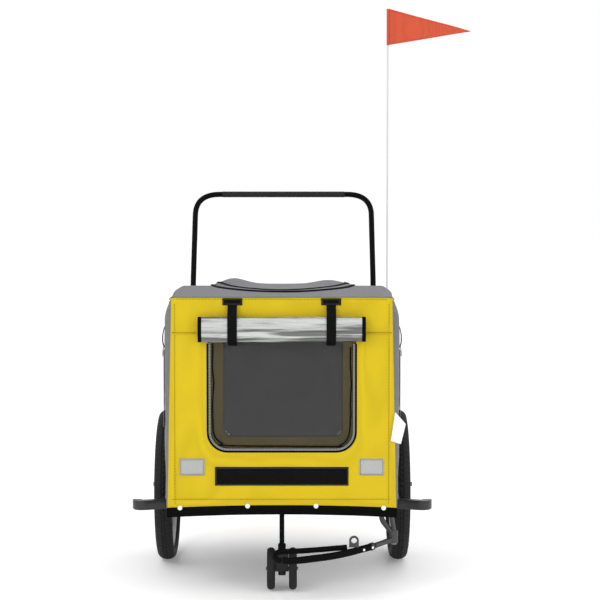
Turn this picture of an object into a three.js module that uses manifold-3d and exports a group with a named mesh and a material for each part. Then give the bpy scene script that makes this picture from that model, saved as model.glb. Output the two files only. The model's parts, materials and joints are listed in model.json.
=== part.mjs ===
// Bicycle trailer and stroller with a fabric box cabin, two rear wheels, a twin front caster,
// a push handle, a stowed tow arm and a safety flag. Millimetres, +Z up, front towards -Y.
// While it is built, X = 0 is the centre plane, Y = 0 the rear axle and Z = 0 the ground.
import * as THREE from 'three';
import { mergeVertices } from 'three/addons/utils/BufferGeometryUtils.js';
import Module from 'manifold-3d';

const wasm = await Module();
wasm.setup();

// ---- driving dimensions -------------------------------------------------------------------
const GAP = 0.3; // clearance between pieces that touch

const cabin = {
  front: -430, rear: 265.5, bottom: 211, top: 719, skin: 3,
  frontHalf: 279, frontTopHalf: 270, sideHalf: 276.5, bulgeHalf: 291, wheelZoneHalf: 279.6,
};
const rails = { half: 272, front: -424, rear: 262, size: 20, bottom: 202.8 };
const guard = { inner: 236, outer: 380, size: 25, bottom: 177.5, rootY: -216, tailY: -248, sweep: 22 };
const wheel = { x: 308, radius: 200, width: 46, rimOuter: 170, rimInner: 150, spokes: 14 };
const axle = { z: 200, radius: 6, from: 272.6, to: 348 };
const hoop = { x: 259, top: 708, radius: 8, front: -408, rear: 246, corner: 45, railX: 225 };
const door = { half: 180.5, bottom: 349, top: 664, corner: 48 };
const rearWindow = { half: 170, bottom: 292, top: 620, corner: 24 };
const sideWindow = { front: -300, rear: 170, bottom: 330, top: 640, corner: 40 };
const handle = { half: 257.5, pivotY: 288, pivotZ: 575, kneeZ: 700, lean: 30, top: 984.5, radius: 8 };
const caster = { y: -388, trail: 18, wheelRadius: 51.5, wheelX: 27, wheelWidth: 19.6, stem: 6 };
const tow = { x: 273.5, y: -400, z: 130, arm: 8.7, joint: 6.8, hook: 6.8 };
const flag = { x: 293.5, y: 240, poleRadius: 2.5, top: 1502, height: 101, reach: 234.5, drop: 65 };

const floorTop = rails.bottom + rails.size;

// ---- materials ------------------------------------------------------------------------------
const finish = (color, roughness, metalness = 0, opacity = 1) => new THREE.MeshStandardMaterial({
  color, roughness, metalness, opacity, transparent: opacity < 1,
});
const yellowFabric = finish(0xe0bf1c, 0.8);
const greyFabric = finish(0x77777b, 0.85);
const blackFabric = finish(0x0c0c0d, 0.8);
const meshFabric = finish(0x3c3c3c, 0.9, 0, 0.6);
const clearFilm = finish(0xc9ccca, 0.15, 0, 0.8);
const reflective = finish(0xd2d3cc, 0.4, 0.2);
const blackSteel = finish(0x161617, 0.45, 0.4);
const greySteel = finish(0x6d6d70, 0.4, 0.8);
const rubber = finish(0x1d1d1e, 0.9);
const blackPlastic = finish(0x151515, 0.5);
const board = finish(0x2a2a2c, 0.7);
const whitePlastic = finish(0xf2f2f0, 0.5);
const orangeFabric = finish(0xef5a2f, 0.6);

// ---- solid helpers --------------------------------------------------------------------------
function signedVolume(geometry) {
  const { position } = geometry.attributes;
  const [a, b, c] = [new THREE.Vector3(), new THREE.Vector3(), new THREE.Vector3()];
  let total = 0;
  for (let i = 0; i < geometry.index.count; i += 3) {
    a.fromBufferAttribute(position, geometry.index.getX(i));
    b.fromBufferAttribute(position, geometry.index.getX(i + 1));
    c.fromBufferAttribute(position, geometry.index.getX(i + 2));
    total += a.dot(b.cross(c)) / 6;
  }
  return total;
}

// One closed body with shared corners and its faces pointing out.
function solid(geometry) {
  geometry.deleteAttribute('normal');
  geometry.deleteAttribute('uv');
  const merged = mergeVertices(geometry, 1e-3);
  if (signedVolume(merged) < 0) {
    const index = merged.index.array;
    for (let i = 0; i < index.length; i += 3) [index[i], index[i + 1]] = [index[i + 1], index[i]];
  }
  return merged;
}

function toManifold(geometry) {
  const closed = solid(geometry);
  return new wasm.Manifold(new wasm.Mesh({
    numProp: 3,
    vertProperties: new Float32Array(closed.attributes.position.array),
    triVerts: new Uint32Array(closed.index.array),
  }));
}

function fromManifold(body) {
  const mesh = body.getMesh();
  const geometry = new THREE.BufferGeometry();
  geometry.setAttribute('position', new THREE.BufferAttribute(new Float32Array(mesh.vertProperties), 3));
  geometry.setIndex(new THREE.BufferAttribute(new Uint32Array(mesh.triVerts), 1));
  return geometry;
}

const joined = (...parts) => fromManifold(parts.map(toManifold).reduce((a, b) => a.add(b)));
const cut = (part, ...tools) => fromManifold(
  tools.map(toManifold).reduce((a, b) => a.subtract(b), toManifold(part)),
);
const overlap = (a, b) => fromManifold(toManifold(a).intersect(toManifold(b)));

const box = (x0, x1, y0, y1, z0, z1) => new THREE.BoxGeometry(x1 - x0, y1 - y0, z1 - z0)
  .translate((x0 + x1) / 2, (y0 + y1) / 2, (z0 + z1) / 2);

// A polygon with rounded corners; each corner is [u, v, radius].
function roundedShape(corners, ShapeClass = THREE.Shape) {
  const shape = new ShapeClass();
  corners.forEach(([u, v, radius = 0], i) => {
    const corner = new THREE.Vector2(u, v);
    const before = new THREE.Vector2(...corners.at(i - 1).slice(0, 2)).sub(corner).setLength(radius);
    const after = new THREE.Vector2(...corners[(i + 1) % corners.length].slice(0, 2));
    after.sub(corner).setLength(radius);
    const [start, end] = [corner.clone().add(before), corner.clone().add(after)];
    if (i === 0) shape.moveTo(start.x, start.y);
    else shape.lineTo(start.x, start.y);
    if (radius > 0) shape.quadraticCurveTo(u, v, end.x, end.y);
  });
  shape.closePath();
  return shape;
}

const rectangle = (u0, u1, v0, v1, r, ShapeClass) => roundedShape(
  [[u0, v0, r], [u1, v0, r], [u1, v1, r], [u0, v1, r]],
  ShapeClass,
);

const extruded = (shape, depth, curveSegments = 5) => new THREE.ExtrudeGeometry(
  shape,
  { depth, curveSegments, bevelEnabled: false },
);
// A plan outline standing from z, an elevation outline (x, z) from y backwards, and a side
// outline (y, z) from x outwards.
const plate = (shape, z, depth, segments) => extruded(shape, depth, segments).translate(0, 0, z);
const upright = (shape, y, depth, segments) => extruded(shape, depth, segments)
  .rotateX(Math.PI / 2).translate(0, y + depth, 0);
const sideways = (shape, x, depth, segments) => extruded(shape, depth, segments)
  .rotateX(Math.PI / 2).rotateZ(Math.PI / 2).translate(x, 0, 0);

const circle = (radius) => new THREE.Shape().absarc(0, 0, radius, 0, 2 * Math.PI);

// A round bar through points, with rounded corners.
function bentTube(points, radius, corner = 0, steps = 24, quarter = 4) {
  const path = new THREE.CurvePath();
  const at = points.map((p) => new THREE.Vector3(...p));
  let start = at[0];
  for (let i = 1; i < at.length - 1; i += 1) {
    const into = at[i].clone().add(at[i - 1].clone().sub(at[i]).setLength(corner));
    const out = at[i].clone().add(at[i + 1].clone().sub(at[i]).setLength(corner));
    path.add(new THREE.LineCurve3(start, into));
    path.add(new THREE.QuadraticBezierCurve3(into, at[i], out));
    start = out;
  }
  path.add(new THREE.LineCurve3(start, at.at(-1)));
  return new THREE.ExtrudeGeometry(circle(radius), {
    steps: points.length === 2 ? 1 : steps, curveSegments: quarter, bevelEnabled: false, extrudePath: path,
  });
}

function curvedTube(points, radius, steps, quarter = 5) {
  const path = new THREE.CatmullRomCurve3(points.map((p) => new THREE.Vector3(...p)), false, 'centripetal');
  return new THREE.ExtrudeGeometry(circle(radius), {
    steps, curveSegments: quarter, bevelEnabled: false, extrudePath: path,
  });
}

// Turned pieces: each profile point is [radius, distance along the axis].
const turned = (profile, segments = 20) => new THREE.LatheGeometry(
  profile.map(([r, h]) => new THREE.Vector2(r, h)),
  segments,
);
const turnedAlongZ = (profile, segments) => turned(profile, segments).rotateX(Math.PI / 2);
const turnedAlongX = (profile, segments) => turned(profile, segments).rotateZ(-Math.PI / 2);
const ring = (inner, outer, from, to) => [
  [inner, from], [outer, from], [outer, to], [inner, to], [inner, from],
];

// ---- the assembly -----------------------------------------------------------------------------
const trailer = new THREE.Group();
trailer.name = 'bicycle_trailer';

function add(name, geometry, material) {
  const mesh = new THREE.Mesh(solid(geometry), material);
  mesh.name = name;
  trailer.add(mesh);
  return mesh;
}

// The same piece on both sides: the builder receives +1 for the left side (+X) and -1 for the right.
function addPair(name, build, material) {
  add(`${name}_left`, build(1), material);
  add(`${name}_right`, build(-1), material);
}
const mirrored = (geometry, side) => (side > 0 ? geometry : geometry.scale(-1, 1, 1));

// ---- chassis ------------------------------------------------------------------------------------
function buildChassis() {
  const { half, front, rear, size, bottom } = rails;
  const outline = rectangle(-half, half, front, rear, 0);
  outline.holes.push(rectangle(-half + size, half - size, front + size, rear - size, 0, THREE.Path));
  const dropout = (side) => mirrored(
    sideways(dropoutShape(bottom - 25, bottom + 8), half - 2, 6.3),
    side,
  );
  add('base_frame', joined(plate(outline, bottom, size), dropout(1), dropout(-1)), blackSteel);

  addPair('wheel_guard', (side) => mirrored(buildGuard(), side), blackSteel);
  add('floor_board', plate(rectangle(-246, 246, -396, 234, 8), floorTop + GAP, 6), board);
  add('floor_mat', plate(rectangle(-240, 240, -388, 226, 20), floorTop + 6 + 2 * GAP, 18), greyFabric);
}

// A plate with the axle's hole, outlined in (y, z).
function dropoutShape(low, high) {
  const shape = rectangle(-22, 22, low, high, 5);
  shape.holes.push(new THREE.Path().absarc(0, axle.z, axle.radius + GAP, 0, 2 * Math.PI));
  return shape;
}

// A square tube in front of each rear wheel: it runs out and forward from under the frame, then
// turns back round the wheel's outer side.
function buildGuard() {
  const { inner, outer, size, bottom, rootY, tailY, sweep } = guard;
  const angle = THREE.MathUtils.degToRad(sweep);
  const slope = Math.tan(angle);
  const halfAcross = size / 2 / Math.cos(angle);
  const frontAt = (x) => rootY - halfAcross - (x - inner) * slope;
  const rearAt = (x) => rootY + halfAcross - (x - inner) * slope;
  const bar = roundedShape([
    [inner, frontAt(inner)], [outer, frontAt(outer), 34], [outer, tailY], [outer - size, tailY],
    [outer - size, rearAt(outer - size), 8], [inner, rearAt(inner)],
  ]);
  return plate(bar, bottom, size);
}

// ---- rear wheels -----------------------------------------------------------------------------------
function buildTyre() {
  const widest = wheel.width / 2;
  const half = [[170.3, 12.5], [175, widest - 3], [184, widest], [192, widest - 3.5], [198, 10.5]];
  const profile = [
    ...half.map(([r, x]) => [r, -x]), [wheel.radius, 0], ...half.toReversed(), [170.3, -12.5],
  ];
  return turnedAlongX(profile, 40);
}

function buildRim() {
  const { rimInner, rimOuter } = wheel;
  const profile = [
    [rimInner, -7], [rimOuter - 5, -14.5], [rimOuter, -14.5], [rimOuter, 14.5],
    [rimOuter - 5, 14.5], [rimInner, 7], [rimInner, -7],
  ];
  return turnedAlongX(profile, 40);
}

// The hub's shell with its two rows of spokes, laced left and right in turn.
function buildHub() {
  const shell = turnedAlongX([
    [6.4, -28], [11, -28], [12, -24], [25, -23], [25, -19], [13, -17], [13, 17], [25, 19],
    [25, 23], [12, 24], [11, 28], [6.4, 28], [6.4, -28],
  ], 20);
  const parts = [shell];
  for (let i = 0; i < wheel.spokes; i += 1) {
    const angle = (i / wheel.spokes) * 2 * Math.PI;
    const radial = (r, x) => [x, r * Math.cos(angle), r * Math.sin(angle)];
    const row = i % 2 ? 21 : -21;
    parts.push(bentTube([radial(20, row), radial(wheel.rimInner - 1.2, row * 0.1)], 1.6, 0, 1, 3));
  }
  return joined(...parts);
}

function buildWheels() {
  const atWheel = (geometry, side) => geometry.translate(side * wheel.x, 0, axle.z);
  addPair('rear_tyre', (side) => atWheel(buildTyre(), side), rubber);
  addPair('rear_rim', (side) => atWheel(buildRim(), side), greySteel);
  addPair('rear_hub', (side) => atWheel(buildHub(), side), greySteel);
  const bolt = [[0, axle.from], [axle.radius, axle.from], [axle.radius, axle.to], [0, axle.to]];
  addPair('rear_axle', (s) => mirrored(turnedAlongX(bolt, 16).translate(0, 0, axle.z), s), greySteel);
  const nut = ring(axle.radius + 3 * GAP, 11, axle.to - 11.5, axle.to - 4);
  addPair('axle_nut', (s) => mirrored(turnedAlongX(nut, 12).translate(0, 0, axle.z), s), greySteel);
}

// ---- cabin frame and fabric ------------------------------------------------------------------------
function buildHoops() {
  const foot = floorTop + GAP;
  for (const [name, y] of [['front_hoop', hoop.front], ['rear_hoop', hoop.rear]]) {
    const points = [[-hoop.x, y, foot], [-hoop.x, y, hoop.top], [hoop.x, y, hoop.top], [hoop.x, y, foot]];
    add(name, bentTube(points, hoop.radius, hoop.corner, 44), blackSteel);
  }
  const reach = hoop.radius + GAP;
  addPair('roof_rail', (side) => bentTube([
    [side * hoop.railX, hoop.front + reach, hoop.top],
    [side * hoop.railX, hoop.rear - reach, hoop.top],
  ], hoop.radius - 1), blackSteel);
}

const doorOutline = (shrink, ShapeClass) => rectangle(
  -door.half + shrink, door.half - shrink, door.bottom + shrink, door.top - shrink,
  door.corner, ShapeClass,
);
const rearOutline = (shrink, ShapeClass) => rectangle(
  -rearWindow.half + shrink, rearWindow.half - shrink,
  rearWindow.bottom + shrink, rearWindow.top - shrink, rearWindow.corner, ShapeClass,
);

function buildEndPanels() {
  const { front, rear, bottom, top, skin, frontHalf, frontTopHalf, sideHalf } = cabin;
  const face = roundedShape([
    [-frontHalf, bottom], [frontHalf, bottom], [frontTopHalf, top], [-frontTopHalf, top],
  ]);
  face.holes.push(doorOutline(0, THREE.Path));
  add('front_panel', upright(face, front, skin), yellowFabric);
  add('front_mesh_door', upright(doorOutline(GAP), front + 0.5, 2), meshFabric);

  const back = rectangle(-sideHalf + 1, sideHalf - 1, bottom, top, 0);
  back.holes.push(rearOutline(0, THREE.Path));
  add('rear_panel', upright(back, rear - skin, skin), yellowFabric);
  add('rear_mesh', upright(rearOutline(GAP), rear - skin + 0.5, 2), meshFabric);

  const skirt = new THREE.Shape();
  const [hemSide, hemMiddle] = [22, 14.5];
  skirt.moveTo(-frontHalf, bottom - GAP);
  skirt.lineTo(-frontHalf, bottom - hemSide);
  skirt.quadraticCurveTo(0, bottom - 2 * hemMiddle + hemSide, frontHalf, bottom - hemSide);
  skirt.lineTo(frontHalf, bottom - GAP);
  add('front_skirt', upright(skirt, front, skin, 8), blackFabric);
}

// Half-widths along the cabin's side, from the front edge to the rear one.
const sideLine = [
  [cabin.front + cabin.skin + GAP, cabin.sideHalf], [-380, 286], [-330, cabin.bulgeHalf],
  [-270, 288], [-215, 281], [-180, cabin.wheelZoneHalf], [190, cabin.wheelZoneHalf],
  [cabin.rear - cabin.skin - GAP, cabin.sideHalf],
];

function buildSides() {
  const { bottom, top, skin } = cabin;
  const outer = sideLine.map(([y, x]) => new THREE.Vector2(x, y));
  const inner = sideLine.toReversed().map(([y, x]) => new THREE.Vector2(x - skin, y));
  const strip = () => plate(new THREE.Shape([...outer, ...inner]), bottom + 1, top - bottom - 1);
  const opening = (shrink) => sideways(rectangle(
    sideWindow.front + shrink, sideWindow.rear - shrink,
    sideWindow.bottom + shrink, sideWindow.top - shrink, sideWindow.corner,
  ), 250, 60, 4);
  addPair('side_panel', (side) => mirrored(cut(strip(), opening(0)), side), greyFabric);
  addPair('side_mesh', (side) => mirrored(overlap(strip(), opening(GAP)), side), meshFabric);

  const [coverHalf, coverDepth, coverMiddle] = [35, 7.5, 626];
  const roll = new THREE.Shape().absellipse(0, 0, coverDepth, coverHalf, 0, 2 * Math.PI);
  addPair('side_cover_roll', (side) => mirrored(upright(roll, -178, 360, 6).translate(
    cabin.wheelZoneHalf + GAP + coverDepth,
    0,
    coverMiddle,
  ), side), greyFabric);
}

// The roof flap closes a U-shaped opening whose round end is at the front.
const flapOutline = (grow, ShapeClass) => roundedShape([
  [-190 - grow, -265 - grow, 150], [190 + grow, -265 - grow, 150],
  [190 + grow, 200 + grow, 20], [-190 - grow, 200 + grow, 20],
], ShapeClass);

function buildRoof() {
  const { front, rear, top, skin, frontTopHalf } = cabin;
  const edge = sideLine.slice(1);
  const outline = new THREE.Shape([
    new THREE.Vector2(frontTopHalf, front),
    ...edge.map(([y, x]) => new THREE.Vector2(x, y)),
    new THREE.Vector2(cabin.sideHalf, rear), new THREE.Vector2(-cabin.sideHalf, rear),
    ...edge.toReversed().map(([y, x]) => new THREE.Vector2(-x, y)),
    new THREE.Vector2(-frontTopHalf, front),
  ]);
  outline.holes.push(flapOutline(0, THREE.Path));
  add('roof_panel', plate(outline, top + GAP, skin, 6), greyFabric);
  const flap = new THREE.ExtrudeGeometry(flapOutline(2), {
    depth: 4, curveSegments: 6, bevelThickness: 4, bevelSize: 5, bevelSegments: 1,
  });
  add('roof_flap', flap.translate(0, 0, top + skin + 2 * GAP + 4), greyFabric);
}

// ---- things fixed on the front ------------------------------------------------------------------
function buildFrontTrim() {
  const onFront = cabin.front - GAP;
  const [rollMiddle, rollY, rollDepth, rollHeight] = [646, -443.8, 11.5, 33];
  const roll = new THREE.Shape().absellipse(0, 0, rollDepth, rollHeight, 0, 2 * Math.PI);
  add('rain_cover_roll', sideways(roll, -202.5, 405, 7).translate(0, rollY, rollMiddle), clearFilm);

  // A strap hangs from the top seam, runs round the roll and back to the panel: (y, z) outline.
  const face = rollY - rollDepth - GAP;
  const web = 1.5;
  const strap = new THREE.Shape([
    [onFront - web, 717], [onFront - 2, 700], [face - web, 668], [face - web, 619],
    [onFront - 9, 601.5], [onFront, 599],
    [onFront, 600.8], [onFront - 8.5, 603.2], [face, 619.6], [face, 667.5],
    [onFront - 0.3, 701.5], [onFront, 717],
  ].map((point) => new THREE.Vector2(...point)));
  const strapWidth = 24;
  addPair('roll_strap', (side) => sideways(strap, side * 119 - strapWidth / 2, strapWidth), blackFabric);

  const patch = (x0, x1, z0, z1) => upright(rectangle(x0, x1, z0, z1, 1.5), onFront - 1.2, 1.2, 2);
  addPair('reflector', (side) => patch(side * 217.5 - 30.5, side * 217.5 + 30.5, 292, 333.5), reflective);
  add('front_webbing', patch(-162, 162, 267, 313), blackFabric);
}

// ---- push handle ----------------------------------------------------------------------------------
function buildHandle() {
  const { half, pivotY, pivotZ, kneeZ, lean, top, radius } = handle;
  const topY = pivotY + Math.tan(THREE.MathUtils.degToRad(lean)) * (top - kneeZ);
  const side = (s) => [[s * half, pivotY, pivotZ - 15], [s * half, pivotY, kneeZ], [s * half, topY, top]];
  const bar = bentTube([...side(-1), ...side(1).toReversed()], radius, 70, 60);
  const bore = turnedAlongX([[0, -400], [3.9, -400], [3.9, 400], [0, 400]], 10)
    .translate(0, pivotY, pivotZ);
  add('handle_bar', cut(bar, bore), blackSteel);

  const back = cabin.rear + GAP;
  addPair('handle_bracket', (s) => {
    const body = joined(
      box(half - 14, half + 14, back, back + 5, 545, 610),
      box(half - 14, half - 9, back, pivotY + 12, 558, 592),
      box(half + 9, half + 14, back, pivotY + 12, 558, 592),
    );
    return mirrored(cut(body, bore), s);
  }, blackSteel);
  const knob = [[0, half - 13], [3.5, half - 13], [3.5, half + 14.3], [11, half + 14.3],
    [12, half + 17], [12, half + 24], [9, half + 27], [0, half + 27]];
  addPair('handle_knob', (s) => mirrored(
    turnedAlongX(knob, 14).translate(0, pivotY, pivotZ),
    s,
  ), blackPlastic);
}

// ---- safety flag ----------------------------------------------------------------------------------
function buildFlag() {
  const { x, y, poleRadius, top, height, reach, drop } = flag;
  const seat = rails.bottom;
  const cup = [[0, 0], [7, 0], [7, 45], [poleRadius + GAP, 45], [poleRadius + GAP, 3], [0, 3]];
  const arm = box(rails.half + GAP, x - 5, y - 6, y + 6, seat, seat + 7);
  add('flag_socket', joined(turnedAlongZ(cup, 14).translate(x, y, seat), arm), blackPlastic);
  const pole = [[0, 0], [poleRadius, 0], [poleRadius, top - seat - 4], [0, top - seat - 4]];
  add('flag_pole', turnedAlongZ(pole, 10).translate(x, y, seat + 4), whitePlastic);
  const edge = x + poleRadius + GAP;
  const pennant = new THREE.Shape([
    new THREE.Vector2(edge, top - 2), new THREE.Vector2(edge, top - 2 - height),
    new THREE.Vector2(x + reach, top - drop),
  ]);
  add('flag', upright(pennant, y - 0.6, 1.2), orangeFabric);
}

// ---- front caster ---------------------------------------------------------------------------------
function buildCaster() {
  const { y, trail, wheelRadius, wheelX, wheelWidth, stem } = caster;
  const upZ = (profile, segments) => turnedAlongZ(profile, segments).translate(0, y, 0);
  add('caster_socket', upZ(ring(stem + GAP, 10, 190, floorTop), 16), blackSteel);
  add('caster_stem', upZ([
    [0, 99.5 + GAP], [9.7, 99.5 + GAP], [9.7, 116], [stem, 119], [stem, floorTop - 2], [0, floorTop - 2],
  ], 16), blackSteel);

  // A block over and between the wheels, with the axle's bore and a round foot under the stem.
  const outline = roundedShape([
    [y - 16, 51], [y + 12, 40 + 8, 6], [y + trail + 12, 40, 8], [y + trail + 14, 66, 8],
    [y + 14, 99.5, 10], [y - 16, 99.5, 8],
  ]);
  const wheelY = y + trail;
  const axis = (r, from, to) => turnedAlongX([[0, from], [r, from], [r, to], [0, to]], 12)
    .translate(0, wheelY, wheelRadius);
  const foot = upZ([[0, 40], [9.5, 40], [9.5, 60], [0, 60]], 14);
  const block = joined(sideways(outline, -16.5, 33), foot);
  add('caster_fork', cut(block, axis(4.3, -20, 20)), blackPlastic);
  add('caster_axle', axis(4, -40, 40), greySteel);

  const side = wheelWidth / 2;
  const wheelProfile = [
    [4.3, -side], [14, -side], [17, -side + 4], [38, -side + 4], [41, -side], [46, -side],
    [50, -side + 3.5], [wheelRadius, -2], [wheelRadius, 2], [50, side - 3.5], [46, side],
    [41, side], [38, side - 4], [17, side - 4], [14, side], [4.3, side], [4.3, -side],
  ];
  addPair('caster_wheel', (s) => turnedAlongX(wheelProfile, 28)
    .translate(s * wheelX, wheelY, wheelRadius), rubber);
}

// ---- tow arm, folded across the front --------------------------------------------------------------
function buildTowArm() {
  const { x, y, z, arm, joint, hook } = tow;
  const post = (r, from, to, segments = 14) => turnedAlongZ(
    [[0, from], [r, from], [r, to], [0, to]],
    segments,
  ).translate(x, y, 0);
  const rod = (points, r) => bentTube(points, r, 12, 14, 4);
  const frameBottom = rails.bottom - GAP;
  add('tow_bracket', cut(joined(
    post(10.5, z + 8, z + 22),
    rod([[243, -414, frameBottom], [243, -414, 180], [x - 3, y - 1, z + 15]], 6.5),
    rod([[266, -414, frameBottom - 2], [x + 1, y - 3, z + 16]], 5.5),
  ), post(4.3, z - 20, z + 40, 12)), blackSteel);
  add('tow_pivot_pin', turnedAlongZ([
    [0, z - 12], [7, z - 12], [7, z - 8.6], [4, z - 8.6], [4, z + 26], [0, z + 26],
  ], 12).translate(x, y, 0), greySteel);

  const seam = [222.5, -437, 120.7];
  const link = rod([[x - 4, y - 3, z], [seam[0] + 3, seam[1] + 2, seam[2] + 0.6]], joint);
  add('tow_arm_joint', cut(
    joined(post(10, z - 8.2, z + 7.7), link),
    post(4.3, z - 20, z + 40, 12),
  ), greySteel);

  const route = [
    seam, [192.6, -455, 116.4], [160.5, -472, 111.7], [114.4, -488, 105.9],
    [35.3, -500, 98.6], [2, -501, 98.4],
  ];
  const pinHole = (px, py, pz) => turnedAlongZ([[0, -30], [2.8, -30], [2.8, 30], [0, 30]], 10)
    .rotateX(Math.PI / 2).rotateZ(-0.5).translate(px, py, pz);
  add('tow_arm_tube', cut(
    curvedTube(route, arm, 26),
    pinHole(215, -441.5, 119.4),
    pinHole(193.5, -454.4, 116.5),
  ), blackSteel);

  const turn = [
    [-0.5, -501, 98.4], [-9, -499.5, 99.2], [-17, -489, 105], [-10, -476, 112.4], [4, -471, 114],
    [60, -466, 115.6], [157, -452, 120.6],
  ];
  add('hitch_hook', curvedTube(turn, hook, 30), blackSteel);

  // A flat tab with an eye, on the arm's top.
  const [eyeX, eyeY, eyeBase, eyeZ] = [174, -466, 123.4, 139.4];
  const tab = new THREE.Shape();
  tab.moveTo(eyeX - 11.7, eyeBase);
  tab.lineTo(eyeX + 11.7, eyeBase);
  tab.lineTo(eyeX + 11.7, eyeZ);
  tab.absarc(eyeX, eyeZ, 11.7, 0, Math.PI, false);
  tab.closePath();
  tab.holes.push(new THREE.Path().absarc(eyeX, eyeZ, 6.8, 0, 2 * Math.PI));
  add('tow_eye', upright(tab, eyeY, 4, 8), greySteel);
}

buildChassis();
buildWheels();
buildHoops();
buildEndPanels();
buildSides();
buildRoof();
buildFrontTrim();
buildHandle();
buildFlag();
buildCaster();
buildTowArm();

// The origin is the centre of the whole object's footprint, on the ground.
const bounds = new THREE.Box3().setFromObject(trailer);
const middle = bounds.getCenter(new THREE.Vector3());
trailer.position.set(-middle.x, -middle.y, -bounds.min.z);

export default trailer;
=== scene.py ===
"""Bicycle trailer with a fabric box cabin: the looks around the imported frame.

Lengths below are in millimetres from the trailer's own centre: x = 0 is the centre plane, y = 0 the
rear axle and z = 0 the ground. at() turns them into the row frame's metres.
"""
import json
import math

import bmesh
import bpy
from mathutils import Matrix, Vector, noise


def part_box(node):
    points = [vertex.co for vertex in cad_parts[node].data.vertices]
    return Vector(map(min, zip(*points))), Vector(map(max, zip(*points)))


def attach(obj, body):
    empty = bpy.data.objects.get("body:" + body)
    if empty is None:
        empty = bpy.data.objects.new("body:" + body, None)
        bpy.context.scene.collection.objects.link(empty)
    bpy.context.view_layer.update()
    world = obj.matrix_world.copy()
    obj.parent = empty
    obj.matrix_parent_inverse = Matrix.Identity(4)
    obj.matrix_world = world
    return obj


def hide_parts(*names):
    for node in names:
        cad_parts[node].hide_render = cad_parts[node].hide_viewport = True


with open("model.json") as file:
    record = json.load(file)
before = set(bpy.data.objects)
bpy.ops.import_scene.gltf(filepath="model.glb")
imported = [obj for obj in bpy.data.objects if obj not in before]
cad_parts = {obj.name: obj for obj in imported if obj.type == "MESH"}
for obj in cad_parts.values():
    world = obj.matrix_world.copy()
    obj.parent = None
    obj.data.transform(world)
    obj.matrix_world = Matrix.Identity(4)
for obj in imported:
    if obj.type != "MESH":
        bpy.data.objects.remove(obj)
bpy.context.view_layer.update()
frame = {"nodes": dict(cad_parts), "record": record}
MM = 0.001
SEED = 7

CENTRE_X = sum(corner[0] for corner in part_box("base_frame")) / 2
AXLE_Y = sum(corner[1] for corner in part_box("rear_axle_left")) / 2


def at(x, y, z):
    return Vector((x * MM + CENTRE_X, y * MM + AXLE_Y, z * MM))


def local_box(node):
    """A CAD node's box in the trailer's own millimetres: (x0, y0, z0), (x1, y1, z1)."""
    return [((x - CENTRE_X) / MM, (y - AXLE_Y) / MM, z / MM) for x, y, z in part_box(node)]


# ---- camera, light and floor ----
def build_camera():
    aside, distance, height = 22, 4321.7, 916.4
    pitch, lens, shift = 2.923, 97.01, 0.0152
    data = bpy.data.cameras.new("camera")
    camera = bpy.data.objects.new("camera", data)
    bpy.context.collection.objects.link(camera)
    camera.location = at(aside, -distance, height)
    camera.rotation_euler = (math.radians(90 - pitch), 0, 0)
    data.lens, data.sensor_width, data.shift_x = lens, 36, shift
    data.clip_end = 200
    bpy.context.scene.camera = camera


def build_light():
    world = bpy.data.worlds.new("studio")
    world.use_nodes = True
    world.node_tree.nodes["Background"].inputs["Color"].default_value = (1, 1, 1, 1)
    world.node_tree.nodes["Background"].inputs["Strength"].default_value = 1.0
    bpy.context.scene.world = world
    for name, place, target, size, power in (
        ("key", (-1900, -2600, 2900), (0, -60, 420), 1.6, 26),
        ("fill", (2300, -2200, 1700), (0, -60, 420), 1.8, 12),
        ("back", (600, 2400, 2600), (0, -60, 420), 2.0, 16),
        ("cabin", (0, -300, 560), (0, 260, 420), 0.16, 1.7),
    ):
        data = bpy.data.lights.new(name, "AREA")
        data.size, data.energy = size, power
        light = bpy.data.objects.new(name, data)
        bpy.context.collection.objects.link(light)
        light.location = at(*place)
        aim = at(*target) - light.location
        light.rotation_mode = "QUATERNION"
        light.rotation_quaternion = aim.to_track_quat("-Z", "Y")
    bpy.context.scene.view_settings.view_transform = "Standard"


def build_floor():
    bm = bmesh.new()
    reach = 60
    corners = [(-reach, -reach), (reach, -reach), (reach, reach), (-reach, reach)]
    bm.faces.new([bm.verts.new((x, y, -0.0005)) for x, y in corners])
    mesh = bpy.data.meshes.new("floor")
    bm.to_mesh(mesh)
    floor = bpy.data.objects.new("floor", mesh)
    bpy.context.collection.objects.link(floor)
    tone = Finish("studio_floor", (0.93, 0.93, 0.93), 0.95)
    tone.speckle(8, 0.01).set(Specular_IOR_Level=0.0, Emission_Color=(1, 1, 1, 1), Emission_Strength=0.16)
    mesh.materials.append(tone.material)


# ---- materials ----
WAVES_PER_UNIT = 3.183


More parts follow.
